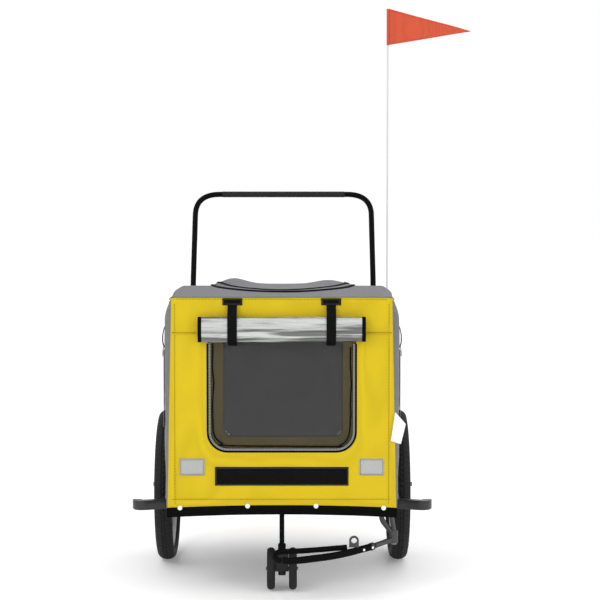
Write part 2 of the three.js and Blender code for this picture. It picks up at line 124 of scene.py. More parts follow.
class Finish:
    """A Principled material whose detail is added step by step."""

    def __init__(self, name, colour, roughness, metallic=0.0):
        self.material = bpy.data.materials.new(name)
        self.material.use_nodes = True
        self.tree = self.material.node_tree
        self.shader = self.tree.nodes["Principled BSDF"]
        self.place = self.tree.nodes.new("ShaderNodeTexCoord").outputs["Object"]
        self.base, self.colour, self.height = colour, None, None
        self.shader.inputs["Base Color"].default_value = (*colour, 1)
        self.shader.inputs["Roughness"].default_value = roughness
        self.shader.inputs["Metallic"].default_value = metallic

    def set(self, **values):
        for name, value in values.items():
            self.shader.inputs[name.replace("_", " ")].default_value = value
        return self

    def node(self, kind, **inputs):
        node = self.tree.nodes.new(kind)
        for name, value in inputs.items():
            self.feed(node.inputs[name], value)
        return node

    def feed(self, socket, value):
        if hasattr(value, "is_linked"):
            self.tree.links.new(value, socket)
        else:
            socket.default_value = value

    def math(self, operation, a, b=0.0):
        node = self.tree.nodes.new("ShaderNodeMath")
        node.operation = operation
        for socket, value in zip(node.inputs, (a, b)):
            self.feed(socket, value)
        return node.outputs[0]

    def stretched(self, scale):
        node = self.node("ShaderNodeMapping", Vector=self.place)
        node.inputs["Scale"].default_value = scale
        return node.outputs["Vector"]

    def noise(self, scale, detail=3.0, place=None):
        node = self.node("ShaderNodeTexNoise", Vector=place or self.place, Scale=scale, Detail=detail)
        return node.outputs["Fac"]

    def wave(self, direction, per_metre):
        node = self.node("ShaderNodeTexWave", Vector=self.place, Scale=per_metre / WAVES_PER_UNIT)
        node.bands_direction = direction
        return node.outputs["Fac"]

    def tint(self, factor, low, high):
        """The colour runs from low to high times the base colour as factor goes from 0 to 1."""
        mix = self.tree.nodes.new("ShaderNodeMix")
        mix.data_type = "RGBA"
        self.tree.links.new(factor, mix.inputs["Factor"])
        for socket, gain in zip((mix.inputs[6], mix.inputs[7]), (low, high)):
            if self.colour is None:
                socket.default_value = (*[min(1, c * gain) for c in self.base], 1)
            else:
                scaled = self.tree.nodes.new("ShaderNodeMix")
                scaled.data_type, scaled.blend_type = "RGBA", "MULTIPLY"
                scaled.inputs["Factor"].default_value = 1
                self.tree.links.new(self.colour, scaled.inputs[6])
                scaled.inputs[7].default_value = (gain, gain, gain, 1)
                self.tree.links.new(scaled.outputs[2], socket)
        self.colour = mix.outputs[2]
        self.tree.links.new(self.colour, self.shader.inputs["Base Color"])
        return self

    def bump(self, height, distance, strength=1.0):
        node = self.node("ShaderNodeBump", Height=height, Distance=distance, Strength=strength)
        if self.height is not None:
            self.tree.links.new(self.height, node.inputs["Normal"])
        self.height = node.outputs["Normal"]
        self.tree.links.new(self.height, self.shader.inputs["Normal"])
        return self

    def rough(self, factor, low, high):
        node = self.node("ShaderNodeMapRange", Value=factor)
        node.inputs["To Min"].default_value, node.inputs["To Max"].default_value = low, high
        self.tree.links.new(node.outputs[0], self.shader.inputs["Roughness"])
        return self

    def speckle(self, scale, amount):
        return self.tint(self.noise(scale), 1 - amount, 1 + amount)

    def weave(self, per_metre, depth, shade=0.06):
        """Threads across each other on faces that look along any axis, with painted shade in the dips between
        them.
        """
        crossed = self.math("MULTIPLY", self.wave("X", per_metre), self.wave("Z", per_metre))
        height = self.math("ADD", crossed, self.wave("Y", per_metre))
        # The tint follows the thread height: painted shade darkens the dips and the raised threads are
        # lighter.
        return self.bump(height, depth).tint(height, 1 - shade, 1 + shade)


def oxford(name, colour, roughness=0.62):
    cloth = Finish(name, colour, roughness).speckle(5, 0.04).weave(1100, 0.0002)
    cloth.bump(cloth.noise(7, 2), 0.003, 0.25)
    return cloth.set(Specular_IOR_Level=0.14, Sheen_Weight=0.03, Sheen_Roughness=0.5).material


def webbing(name, colour, across="Z"):
    tape = Finish(name, colour, 0.7).speckle(60, 0.25)
    tape.bump(tape.wave(across, 520), 0.0004)
    return tape.set(Specular_IOR_Level=0.04).material


def open_mesh(name, colour, cover):
    """Knitted mesh: a lattice of holes about 1.6 mm apart, see-through between its threads."""
    net = Finish(name, colour, 0.75)
    net.speckle(40, 0.12)
    pitch = 620
    across = net.math("MULTIPLY", net.wave("X", pitch), net.wave("Z", pitch))
    along = net.math("MULTIPLY", net.wave("Y", pitch), net.wave("Z", pitch))
    lattice = net.math("MAXIMUM", across, along)
    alpha = net.node("ShaderNodeMapRange", Value=lattice)
    alpha.inputs["To Min"].default_value, alpha.inputs["To Max"].default_value = cover, cover - 0.22
    net.tree.links.new(alpha.outputs[0], net.shader.inputs["Alpha"])
    net.bump(lattice, 0.0004)
    return net.set(Specular_IOR_Level=0.12).material


def powder_coat(name, colour, roughness=0.46, shine=0.06):
    paint = Finish(name, colour, roughness)
    paint.bump(paint.noise(700, 2), 0.0002, 0.5).rough(paint.noise(14), roughness - 0.06, roughness + 0.12)
    paint.speckle(25, 0.12).set(Specular_IOR_Level=shine)
    return paint.material


def plated(name, colour, roughness=0.36):
    steel = Finish(name, colour, roughness, 0.75)
    brushed = steel.noise(60, 4, steel.stretched((1, 1, 14)))
    steel.bump(brushed, 0.0002, 0.4).rough(brushed, roughness - 0.1, roughness + 0.15)
    return steel.speckle(30, 0.1).material


def moulded(name, colour, roughness=0.5):
    plastic = Finish(name, colour, roughness)
    plastic.bump(plastic.noise(900, 2), 0.00015, 0.6)
    plastic.rough(plastic.noise(20), roughness - 0.08, roughness + 0.1)
    return plastic.speckle(30, 0.1).set(Specular_IOR_Level=0.25).material


def clear_roll(name):
    """Rolled clear film: layers that mirror the room in long streaks, painted into its colour as painted
    reflection.
    """
    film = Finish(name, (0.33, 0.34, 0.33), 0.14, 0.5)
    streaks = film.noise(9, 5, film.stretched((0.45, 3, 7)))
    fine = film.noise(30, 3, film.stretched((0.25, 3, 6)))
    bright = film.node("ShaderNodeMapRange", Value=streaks)
    bright.inputs["From Min"].default_value, bright.inputs["From Max"].default_value = 0.45, 0.56
    # Both tints are painted reflection: broad bright streaks and finer streaks lighten and darken the film's
    # colour.
    film.tint(bright.outputs[0], 0.4, 1.7).tint(fine, 0.6, 1.25)
    film.bump(streaks, 0.02, 0.9).bump(fine, 0.004, 0.5)
    return film.set(Coat_Weight=0.8, Coat_Roughness=0.08).material


def reflective_tape(name):
    tape = Finish(name, (0.4, 0.405, 0.39), 0.3, 0.35)
    cells = tape.node("ShaderNodeTexVoronoi", Vector=tape.place, Scale=420.0).outputs["Distance"]
    return tape.bump(cells, 0.0005).tint(cells, 0.86, 1.12).speckle(12, 0.06).set(Coat_Weight=0.5).material


def rubber(name, colour):
    tyre = Finish(name, colour, 0.72)
    tyre.bump(tyre.noise(500, 3), 0.0003, 0.6).rough(tyre.noise(18), 0.6, 0.85)
    return tyre.speckle(16, 0.2).set(Specular_IOR_Level=0.18).material


YELLOW = oxford("yellow_oxford", (0.62, 0.455, 0.01))
GREY = oxford("grey_oxford", (0.165, 0.165, 0.178))
BLACK_CLOTH = webbing("black_binding", (0.003, 0.003, 0.0033), "X")
WEBBING = webbing("black_webbing", (0.0055, 0.0055, 0.006))
MESH = open_mesh("black_mesh", (0.05, 0.05, 0.05), 0.68)
SIDE_MESH = open_mesh("side_mesh_cloth", (0.036, 0.036, 0.036), 0.62)
REAR_MESH = open_mesh("rear_mesh_cloth", (0.06, 0.06, 0.06), 0.8)
FILM = clear_roll("clear_film")
TAPE = reflective_tape("reflective_tape")
STEEL_BLACK = powder_coat("black_steel", (0.0045, 0.0045, 0.005), shine=0.03)
# The guard's black paint has a lighter base than STEEL_BLACK: painted sheen for the light the semi-gloss
# guard reflects.
GUARD_BLACK = powder_coat("guard_steel", (0.026, 0.026, 0.027), 0.3, 0.4)
STEEL_GREY = plated("grey_steel", (0.2, 0.2, 0.205))
BRIGHT = plated("bright_pin", (0.85, 0.85, 0.85), 0.25)
ARM_GREY = plated("arm_steel", (0.07, 0.07, 0.073), 0.42)
RUBBER = rubber("tyre_rubber", (0.018, 0.018, 0.019))
PLASTIC = moulded("black_plastic", (0.012, 0.012, 0.013))
SNAP = moulded("snap_white", (0.8, 0.8, 0.8), 0.3)
BOARD = moulded("floor_laminate", (0.03, 0.03, 0.032), 0.6)
ROD = moulded("white_rod", (0.62, 0.62, 0.63), 0.35)
PENNANT = oxford("pennant_orange", (0.58, 0.088, 0.042), 0.6)
PENNANT_HEM = oxford("pennant_hem", (0.7, 0.07, 0.03), 0.6)
PADDING = oxford("floor_padding", (0.1, 0.1, 0.105))
THREAD = moulded("stitch_thread", (0.24, 0.15, 0.006), 0.7)
GREY_THREAD = moulded("grey_thread", (0.07, 0.07, 0.075), 0.7)
ZIP_TEETH = moulded("zip_teeth", (0.3, 0.3, 0.305), 0.35)
TAG = moulded("blank_tag", (0.85, 0.85, 0.85), 0.6)

# The finishes of each CAD material slot; plain CAD pieces take the first.
FINISHES = {
    "yellow_oxford": (YELLOW, THREAD),
    "grey_oxford": (GREY, GREY_THREAD),
    "black_webbing": (WEBBING, BLACK_CLOTH, ZIP_TEETH),
    "black_mesh": (MESH, SIDE_MESH, REAR_MESH),
    "clear_film": (FILM,),
    "reflective_tape": (TAPE,),
    "painted_black_steel": (STEEL_BLACK, GUARD_BLACK),
    "bare_grey_steel": (STEEL_GREY, ARM_GREY, BRIGHT),
    "tyre_rubber": (RUBBER,),
    "black_plastic": (PLASTIC,),
    "white_fibreglass": (ROD, SNAP, TAG),
    "orange_fabric": (PENNANT, PENNANT_HEM),
    "floor_padding": (PADDING,),
    "floor_panel": (BOARD,),
}


# ---- mesh helpers ----
SIDES = ((1, "left"), (-1, "right"))
CLOTH, NET = 1.4, 0.7
SHARP_ANGLE, BEVEL_ANGLE = math.radians(40), math.radians(35)


def piece(name, data, material, node=None, body="chassis", smooth=True):
    """A mesh of (points, faces) that rides on a body and may replace a CAD node."""
    points, faces = data
    mesh = bpy.data.meshes.new(name)
    mesh.from_pydata([at(*p) for p in points], [], faces)
    mesh.validate()
    bm = bmesh.new()
    bm.from_mesh(mesh)
    bmesh.ops.recalc_face_normals(bm, faces=bm.faces)
    bm.to_mesh(mesh)
    bm.free()
    obj = bpy.data.objects.new(name, mesh)
    bpy.context.collection.objects.link(obj)
    mesh.materials.append(material)
    if smooth:
        for polygon in mesh.polygons:
            polygon.use_smooth = True
        mesh.set_sharp_from_angle(angle=SHARP_ANGLE)
    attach(obj, body)
    if node:
        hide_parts(node)
    return obj


def sheet(name, data, material, node, thickness, flat, held="stretched", area=None, **more):
    """A piece of cloth or film; flat and area are its cut size, in millimetres, and are not used."""
    obj = piece(name, data, material, node)
    solidify = obj.modifiers.new("thickness", "SOLIDIFY")
    solidify.thickness, solidify.offset = thickness * MM, 0
    area = area or flat[0] * flat[1]
    return obj


def soften(obj, width, segments=3):
    bevel = obj.modifiers.new("edges", "BEVEL")
    bevel.width, bevel.segments, bevel.limit_method = width * MM, segments, "ANGLE"
    bevel.angle_limit = BEVEL_ANGLE


def clamp(value):
    return max(0.0, min(1.0, value))


def ease(t):
    return t * t * (3 - 2 * t)


def steps(low, high, count):
    return [low + (high - low) * i / (count - 1) for i in range(count)]


def middle_of(node):
    return [(a + b) / 2 for a, b in zip(*local_box(node))]


def circle(radius, count):
    angles = [2 * math.pi * i / count for i in range(count)]
    return [(radius * math.cos(a), radius * math.sin(a)) for a in angles]


def polyline(points, corner=0.0, count=8):
    """Points along straight runs with round corners of the given reach."""
    ends = [Vector(p) for p in points]
    route = [ends[0]]
    for before, here, after in zip(ends, ends[1:], ends[2:]):
        into = here + (before - here).normalized() * corner
        out = here + (after - here).normalized() * corner
        route += [into.lerp(here, t).lerp(here.lerp(out, t), t) for t in steps(0, 1, count + 1)]
    return route + [ends[-1]]


def smooth_curve(points, per_span=8):
    """A Catmull-Rom curve through points."""
    p = [Vector(q) for q in points]
    p = [2 * p[0] - p[1], *p, 2 * p[-1] - p[-2]]
    route = []
    for a, b, c, d in zip(p, p[1:], p[2:], p[3:]):
        for i in range(per_span):
            t = i / per_span
            route.append(0.5 * ((2 * b) + (c - a) * t + (2 * a - 5 * b + 4 * c - d) * t * t
                                + (3 * b - a - 3 * c + d) * t ** 3))
    return route + [p[-2]]


def box_section(width, height, corner=2.0):
    """A rectangle with cut corners, as (across, up)."""
    w, h = width / 2 - corner, height / 2 - corner
    points = []
    for sx, sy, start in ((1, 1, 0), (-1, 1, 90), (-1, -1, 180), (1, -1, 270)):
        for step in (0, 30, 60, 90):
            turn = math.radians(start + step)
            points.append((sx * w + corner * math.cos(turn), sy * h + corner * math.sin(turn)))
    return points


def lattice_faces(rows, columns, rows_close=False, columns_close=False):
    """Four-sided faces between neighbouring points of a lattice that is stored row by row."""
    return [(i * columns + k, i * columns + (k + 1) % columns,
             (i + 1) % rows * columns + (k + 1) % columns, (i + 1) % rows * columns + k)
            for i in range(rows if rows_close else rows - 1)
            for k in range(columns if columns_close else columns - 1)]


def end_caps(rows, columns):
    return [tuple(range(columns)), tuple((rows - 1) * columns + k for k in range(columns))]


def sweep_data(route, section, up=(0, 0, 1), closed=False):
    """A section carried along a route; the section's own up stays as near as it can to up."""
    route = [Vector(p) for p in route]
    count, side, points = len(route), None, []
    for i, here in enumerate(route):
        ahead = route[(i + 1) % count] if closed or i < count - 1 else here
        behind = route[i - 1] if closed or i > 0 else here
        forward = (ahead - behind).normalized()
        if side is None:
            side = forward.cross(Vector(up))
            if side.length < 0.05:
                side = forward.cross(Vector((0, 1, 0)))
        side = (side - forward * side.dot(forward)).normalized()
        above = side.cross(forward)
        points += [here + side * a + above * b for a, b in section]
    faces = lattice_faces(count, len(section), closed, True)
    return points, faces if closed else faces + end_caps(count, len(section))


def sweep(name, route, section, material, node=None, body="chassis", up=(0, 0, 1), closed=False):
    return piece(name, sweep_data(route, section, up, closed), material, node, body)


def revolve_data(profile, centre, segments=96, shape=None):
    """A closed profile of (radius, along x) turned about x; shape(r, h, turn) may move a point."""
    points = []
    for i in range(segments):
        turn = 2 * math.pi * i / segments
        for r, h in profile:
            if shape:
                r, h = shape(r, h, turn)
            points.append(Vector(centre) + Vector((h, r * math.cos(turn), r * math.sin(turn))))
    return points, lattice_faces(segments, len(profile), True, True)


def revolve(name, profile, centre, material, node, body="chassis", **options):
    return piece(name, revolve_data(profile, centre, **options), material, node, body=body)


def merged(parts):
    """Several (points, faces) as one."""
    points, faces = [], []
    for part_points, part_faces in parts:
        start = len(points)
        points += part_points
        faces += [tuple(i + start for i in face) for face in part_faces]
    return points, faces


def block_data(centre, along, across, out):
    """A small box: three half-edge vectors round a centre."""
    c, a, b, n = (Vector(v) for v in (centre, along, across, out))
    points = [c + sa * a + sb * b + sn * n for sn in (-1, 1) for sb in (-1, 1) for sa in (-1, 1)]
    return points, [(0, 1, 3, 2), (4, 6, 7, 5), (0, 4, 5, 1), (2, 3, 7, 6), (0, 2, 6, 4), (1, 5, 7, 3)]


def spaced(route, step, start=0.0):
    """Points every step along a route, with the direction there."""
    found, travelled, wanted = [], 0.0, start
    for a, b in zip(route, route[1:]):
        a, b = Vector(a), Vector(b)
        length = (b - a).length
        while length > 0 and wanted <= travelled + length:
            found.append((a.lerp(b, (wanted - travelled) / length), (b - a).normalized()))
            wanted += step
        travelled += length
    return found


def blocks_along(route, pitch, length, width, outward, depth, start=0.0):
    """Small boxes lying along a route, such as stitches or zip teeth."""
    outward = Vector(outward)
    return [block_data(point, along * length, along.cross(outward).normalized() * width, outward * depth)
            for point, along in spaced(route, pitch, start)]


def stitches(name, routes, outward, material, length=4.2, pitch=7.5):
    """Rows of sewn thread lying along routes."""
    rows = [blocks_along(route, pitch, length / 2, 0.6, outward, 0.45, pitch / 2) for route in routes]
    return piece(name, merged(sum(rows, [])), material, smooth=False)


# ---- outlines: (half width, low, high, corner radius) ----
def outline_reach(outline, angle):
    """How far a rounded outline's edge lies from its middle in a direction."""
    half_u, low, high, radius = outline
    half_v = (high - low) / 2
    inside, outside = 0.0, 2 * (half_u + half_v)
    for _ in range(40):
        r = (inside + outside) / 2
        cu, cv = abs(r * math.cos(angle)) - (half_u - radius), abs(r * math.sin(angle)) - (half_v - radius)
        out = math.hypot(max(cu, 0), max(cv, 0)) > radius
        inside, outside = (inside, r) if out else (r, outside)
    return inside


def inside_outline(u, v, outline, margin=1.0):
    half, low, high, radius = outline
    cu = abs(u) - (half - radius)
    cv = abs(v - (low + high) / 2) - ((high - low) / 2 - radius)
    return math.hypot(max(cu, 0), max(cv, 0)) <= radius + margin


def holed_sheet(half_u, low, high, opening, place, rings, count):
    """A sheet between a rectangular outer edge and a rounded opening.

    place(u, v, edge) gives a point, where edge runs from 0 at the opening to 1 at the outer edge.
    """
    middle = (opening[1] + opening[2]) / 2
    angles = [2 * math.pi * i / count for i in range(count)]
    corners = [math.atan2(v - middle, u) % (2 * math.pi) for u in (-half_u, half_u) for v in (low, high)]
    angles = sorted(set(angles + corners))
    points = []
    for angle in angles:
        du, dv = math.cos(angle), math.sin(angle)
        limits = [half_u / abs(du)] if abs(du) > 1e-9 else []
        if abs(dv) > 1e-9:
            limits.append(((high - middle) if dv > 0 else (middle - low)) / abs(dv))
        far, near = min(limits), outline_reach(opening, angle)
        for t in steps(0, 1, rings + 1):
            t = ease(t) * 0.5 + t * 0.5
            r = near + (far - near) * t
            points.append(Vector(place(r * du, middle + r * dv, t)))
    return points, lattice_faces(len(angles), rings + 1, rows_close=True)


def grid_sheet(us, vs, place):
    return [Vector(place(u, v)) for u in us for v in vs], lattice_faces(len(us), len(vs))


def end_panel(name, node, half, opening, place, rings, count):
    """The yellow cloth at one end of the cabin, with a rounded opening."""
    _, low, high, _ = opening
    width, height = 2 * half, TOP - BOTTOM
    sheet(name, holed_sheet(half, BOTTOM, TOP, opening, place, rings, count), YELLOW, node, CLOTH,
          (width, height), area=width * height - 2 * opening[0] * (high - low))


def window_net(name, material, node, outline, columns, rows, place):
    """Netting over an opening, without the cells beyond its rounded corners."""
    half, low, high, _ = outline
    us, vs = steps(-half + 1, half - 1, columns), steps(low + 1, high - 1, rows)
    points, faces = grid_sheet(us, vs, place)
    kept = [inside_outline(u, v, outline) for u in us for v in vs]
    faces = [face for face in faces if all(kept[i] for i in face)]
    sheet(name, (points, faces), material, node, NET, (2 * half, high - low))


def wrinkle(x, y, z, scale, amount):
    return amount * noise.fractal(Vector((x, y, z)) / scale + Vector((SEED, 0, 0)), 1.0, 2.0, 3)


def corner_arc(u, v, radius, start, y, count=10):
    """A quarter circle in an upright plane."""
    angles = [math.radians(start + 90 * i / count) for i in range(count + 1)]
    return [Vector((u + radius * math.cos(a), y, v + radius * math.sin(a))) for a in angles]


def closed_outline(outline, y, between=12):
    half, low, high, radius = outline
    u, bottom, top = half - radius, low + radius, high - radius
    across, up = Vector((2 * u, 0, 0)), Vector((0, 0, top - bottom))
    route = []
    for corner_u, corner_v, start, along in ((u, top, 0, -across), (-u, top, 90, -up),
                                             (-u, bottom, 180, across), (u, bottom, 270, up)):
        route += corner_arc(corner_u, corner_v, radius, start, y)
        route += [route[-1] + along * i / between for i in range(1, between)]
    return route


build_camera()
build_light()
build_floor()

# ---- the cabin's shape ----
FRONT_Y = local_box("front_panel")[0][1]
REAR_Y = local_box("rear_panel")[1][1]
BOTTOM, TOP = (corner[2] for corner in local_box("front_panel"))
ROOF_FRONT, ROOF_REAR = (corner[1] for corner in local_box("roof_panel"))
ROOF_Z = local_box("roof_panel")[1][2]
FRONT_HALF, FRONT_TOP_HALF, REAR_HALF = 279.5, 269, 275.5
SEAM_LIFT, HEM_RISE = 5.5, 6.5
SEAM_X, LOW_SEAM_Z = 259, 234
# Openings: half width, low, high and corner radius.
DOOR = (180.5, 349, 664, 48)
DOOR_ZIP_TOP = 612
REAR_WINDOW = (170, 292, 620, 24)
SIDE_WINDOW, SIDE_WINDOW_Y = (235, 330, 640, 40), -65
# Lines from the front to the rear: (depth, half width) or (depth, height).
SIDE_LINE = ((-430, 278), (-405, 281.5), (-380, 286), (-330, 291), (-270, 288), (-215, 281.5), (-180, 280),
             (190, 279.6), (265.5, 276.5))
ROOF_LINE = ((-430, 269.5), (-330, 271.5), (-215, 277), (-100, 284), (110, 284), (265.5, 274))
ROOF_LIP = 1.4
SHOULDER_Z, NOSE_Y, JOIN_Y = 655, -350, -388
CROWN = ((ROOF_FRONT, 3.5), (-150, 9), (60, 9), (ROOF_REAR, -1))
ROUNDING = ((ROOF_FRONT, 7), (-300, 14), (-150, 19), (150, 19), (ROOF_REAR, 10))


def front_half(z):
    return FRONT_HALF + (FRONT_TOP_HALF - FRONT_HALF) * (z - BOTTOM) / (TOP - BOTTOM)


def along_line(line, y):
    for (y0, x0), (y1, x1) in zip(line, line[1:]):
        if y <= y1:
            return x0 + (x1 - x0) * ease(clamp((y - y0) / (y1 - y0)))
    return line[-1][1]


def side_half(y, z):
    """The side's half width, full from the hem up and drawn in to the roof's outline at the top."""
    half, roof_half = along_line(SIDE_LINE, y), along_line(ROOF_LINE, y)
    lift = clamp((z - SHOULDER_Z) / (TOP - SHOULDER_Z))
    near_front, low = clamp((NOSE_Y - y) / 80), 1 - clamp((z - BOTTOM) / 160)
    half += (roof_half - half) * lift ** 2 - 5 * low * near_front
    return half + (front_half(z) + 1 - half) * ease(clamp((JOIN_Y - y) / 40))


def roof_drop(x, y):
    """How far the roof's rounded side edge lies below its top."""
    radius = along_line(ROUNDING, y)
    inside = max(0.0, along_line(ROOF_LINE, y) + ROOF_LIP - abs(x))
    return radius - math.sqrt(max(0.0, radius ** 2 - max(0.0, radius - inside) ** 2))


def roof_height(y):
    """The roof's top: pushed up a little between the hoops."""
    return ROOF_Z + along_line(CROWN, y)


def front_sag(x, z):
    """How far the front panel's cloth lies behind its seams' plane."""
    folds = wrinkle(x, 0, z * 0.6, 150, 0.7)
    return 0.8 + max(-0.7, folds + 0.5 * math.sin(x / 95) * math.sin(z / 70))


# ---- front and rear panels ----
def build_front_panel():
    high = DOOR[2]

    def place(u, v, edge):
        width = front_half(v) / FRONT_HALF
        bottom_lift = HEM_RISE * (1 - min(1.0, abs(u) / FRONT_HALF) ** 2) * max(0.0, 1 - (v - BOTTOM) / 90)
        calm = min(1.0, 4 * edge, 6 * (1 - edge) + 0.05)
        top_lift = SEAM_LIFT * max(0.0, (v - high) / (TOP - high))
        corner = roof_drop(u * FRONT_TOP_HALF / FRONT_HALF, ROOF_FRONT) * max(0.0, (v - 700) / (TOP - 700))
        return (u * (1 + (width - 1) * edge), FRONT_Y + 0.2 + front_sag(u, v) * calm,
                v + bottom_lift + top_lift - 0.6 * corner)

    end_panel("front_cloth", "front_panel", FRONT_HALF, DOOR, place, rings=22, count=240)
    y, fold_z = FRONT_Y - 0.7, 636
    rows = [
        [(x, y, TOP + SEAM_LIFT - 4.5) for x in steps(-FRONT_TOP_HALF + 14, FRONT_TOP_HALF - 14, 20)],
        [(x, y, LOW_SEAM_Z) for x in steps(-FRONT_HALF + 12, FRONT_HALF - 12, 20)],
    ]
    for side, _ in SIDES[::-1]:
        rows.append([(side * SEAM_X, y, z) for z in steps(222, TOP - 8, 30)])
        rows.append([(side * x, y, fold_z + 3) for x in steps(206, 266, 8)])
    stitches("front_stitching", rows, (0, -1, 0), THREAD)
    folds = [[(side * x, y + 0.4, fold_z) for x in steps(205, 266, 8)] for side, _ in SIDES[::-1]]
    piece("front_fold_seam", merged([sweep_data(fold, circle(1.3, 10)) for fold in folds]), YELLOW)


def build_door_mesh():
    half, low, high, _ = DOOR

    def place(u, v):
        s = ((v - (low + high) / 2) / ((high - low) / 2)) ** 2
        belly = (1 - (u / half) ** 2) * (1 - s)
        fold = 2.2 * math.exp(-((abs(u) - 156) / 7) ** 2) * (0.5 + 0.5 * s)
        return (u, FRONT_Y + 2.4 + 4 * belly + fold + wrinkle(u, 3, v * 0.3, 120, 0.6) * belly, v)

    window_net("door_mesh", MESH, "front_mesh_door", DOOR, 60, 60, place)


def door_route(inset, radius, y):
    """Along the door's edge from the upper left, down, across and up the right side."""
    half, low = DOOR[0] - inset, DOOR[1] + inset
    left = [Vector((-half, y, z)) for z in steps(DOOR_ZIP_TOP, low + radius, 24)]
    right = [Vector((half, y, z)) for z in steps(low + radius, DOOR_ZIP_TOP, 24)]
    return (left + corner_arc(-half + radius, low + radius, radius, 180, y)[1:]
            + corner_arc(half - radius, low + radius, radius, 270, y) + right[1:])


def build_door_zip():
    """The black zip round the door: its edge tape, a grey row of teeth and the mesh's own binding."""
    half, low, _, radius = DOOR
    y, facing = FRONT_Y - 0.4, (0, 1, 0)
    sweep("zip_outer_tape", door_route(1, radius, y), box_section(4.5, 2.2, 0.9), BLACK_CLOTH, up=facing)
    teeth = blocks_along(door_route(6, radius - 5, y + 0.4), 3.6, 1.1, 2.5, facing, 0.6)
    piece("zip_teeth", merged(teeth), ZIP_TEETH, smooth=False)
    sweep("zip_tape", door_route(6, radius - 5, y + 0.9), box_section(7.5, 0.9, 0.3), WEBBING, up=facing)
    wavy = []
    for p in door_route(12, radius - 4, y + 0.6):
        drift = 3.2 * (0.5 + wrinkle(p.x, 0, p.z, 60, 1.0))
        on_side = abs(p.x) > half - 40
        wavy.append(Vector((p.x - math.copysign(drift, p.x) * on_side, p.y, p.z + drift * (p.z < low + 50))))
    sweep("mesh_binding", smooth_curve(wavy[::2], 3), box_section(3.6, 1.8, 0.8), BLACK_CLOTH, up=facing)


def build_rear_panel():
    half, low, high, radius = REAR_WINDOW

    def place(u, v, edge):
        calm = min(1.0, 4 * edge, 6 * (1 - edge) + 0.05)
        above = max(0.0, (v - high) / (TOP - high))
        corner = 12 * max(0.0, (abs(u) - 240) / 35.5) ** 2
        sag = max(-0.7, wrinkle(u, 8, v, 150, 0.8) + 0.5) * calm
        return (u, REAR_Y - 1.2 - sag, v - (corner + 3) * above)

    def net(u, v):
        return (u, REAR_Y - 2.2 - 3 * math.cos(u / half * math.pi / 2) - wrinkle(u, 9, v, 90, 1.0), v)

    end_panel("rear_cloth", "rear_panel", REAR_HALF, REAR_WINDOW, place, rings=20, count=220)
    window_net("rear_window_mesh", REAR_MESH, "rear_mesh", REAR_WINDOW, 44, 44, net)
    y = REAR_Y + 0.2
    sweep("rear_window_binding", closed_outline(REAR_WINDOW, y), box_section(6, 2.4, 1), BLACK_CLOTH,
          up=(0, 1, 0), closed=True)
    rows = [[(x, y, z) for x in steps(-262, 262, 20)] for z in (TOP - 22, LOW_SEAM_Z)]
    rows += [[(side * SEAM_X, y, z) for z in steps(222, TOP - 24, 30)] for side, _ in SIDES[::-1]]
    rows.append(closed_outline((half + 9, low - 9, high + 9, radius + 9), y))
    stitches("rear_stitching", rows, (0, 1, 0), THREAD)


def build_skirt():
    """The black hem below the yellow front, with its row of snaps."""
    def place(u, v):
        bow = 1 - (u / FRONT_HALF) ** 2
        rise = HEM_RISE * bow + 2
        z = BOTTOM + rise - (22 - 7.5 * bow + rise) * v
        return (u, FRONT_Y - 0.4 + 1.2 * v + 0.5 * math.sin(u / 23) * v, z)

    data = grid_sheet(steps(-FRONT_HALF + 0.5, FRONT_HALF - 0.5, 90), steps(0, 1, 9), place)
    sheet("front_hem", data, BLACK_CLOTH, "front_skirt", 1.6, (2 * FRONT_HALF, 24), "hung")
    for side, _ in SIDES[::-1]:
        build_snap(f"snap_front_{side}_outer", (side * 247, FRONT_Y - 2, 213), (0, -1, 0))
        build_snap(f"snap_front_{side}_inner", (side * 83, FRONT_Y - 2, 217.6), (0, -1, 0))


def build_snap(name, centre, outward):
    """A press stud: a domed cap with a rim and a dimple."""
    profile = [(0, 0), (5.7, 0), (5.9, 0.5), (5.2, 1.2), (4.2, 1.0), (3.4, 1.5), (1.6, 1.8), (0, 1.7)]
    turn = Vector((0, 0, 1)).rotation_difference(Vector(outward))
    points = [Vector(centre) + turn @ Vector((r * a, r * b, h)) for a, b in circle(1, 24) for r, h in profile]
    piece(name, (points, lattice_faces(24, len(profile), rows_close=True)), SNAP)


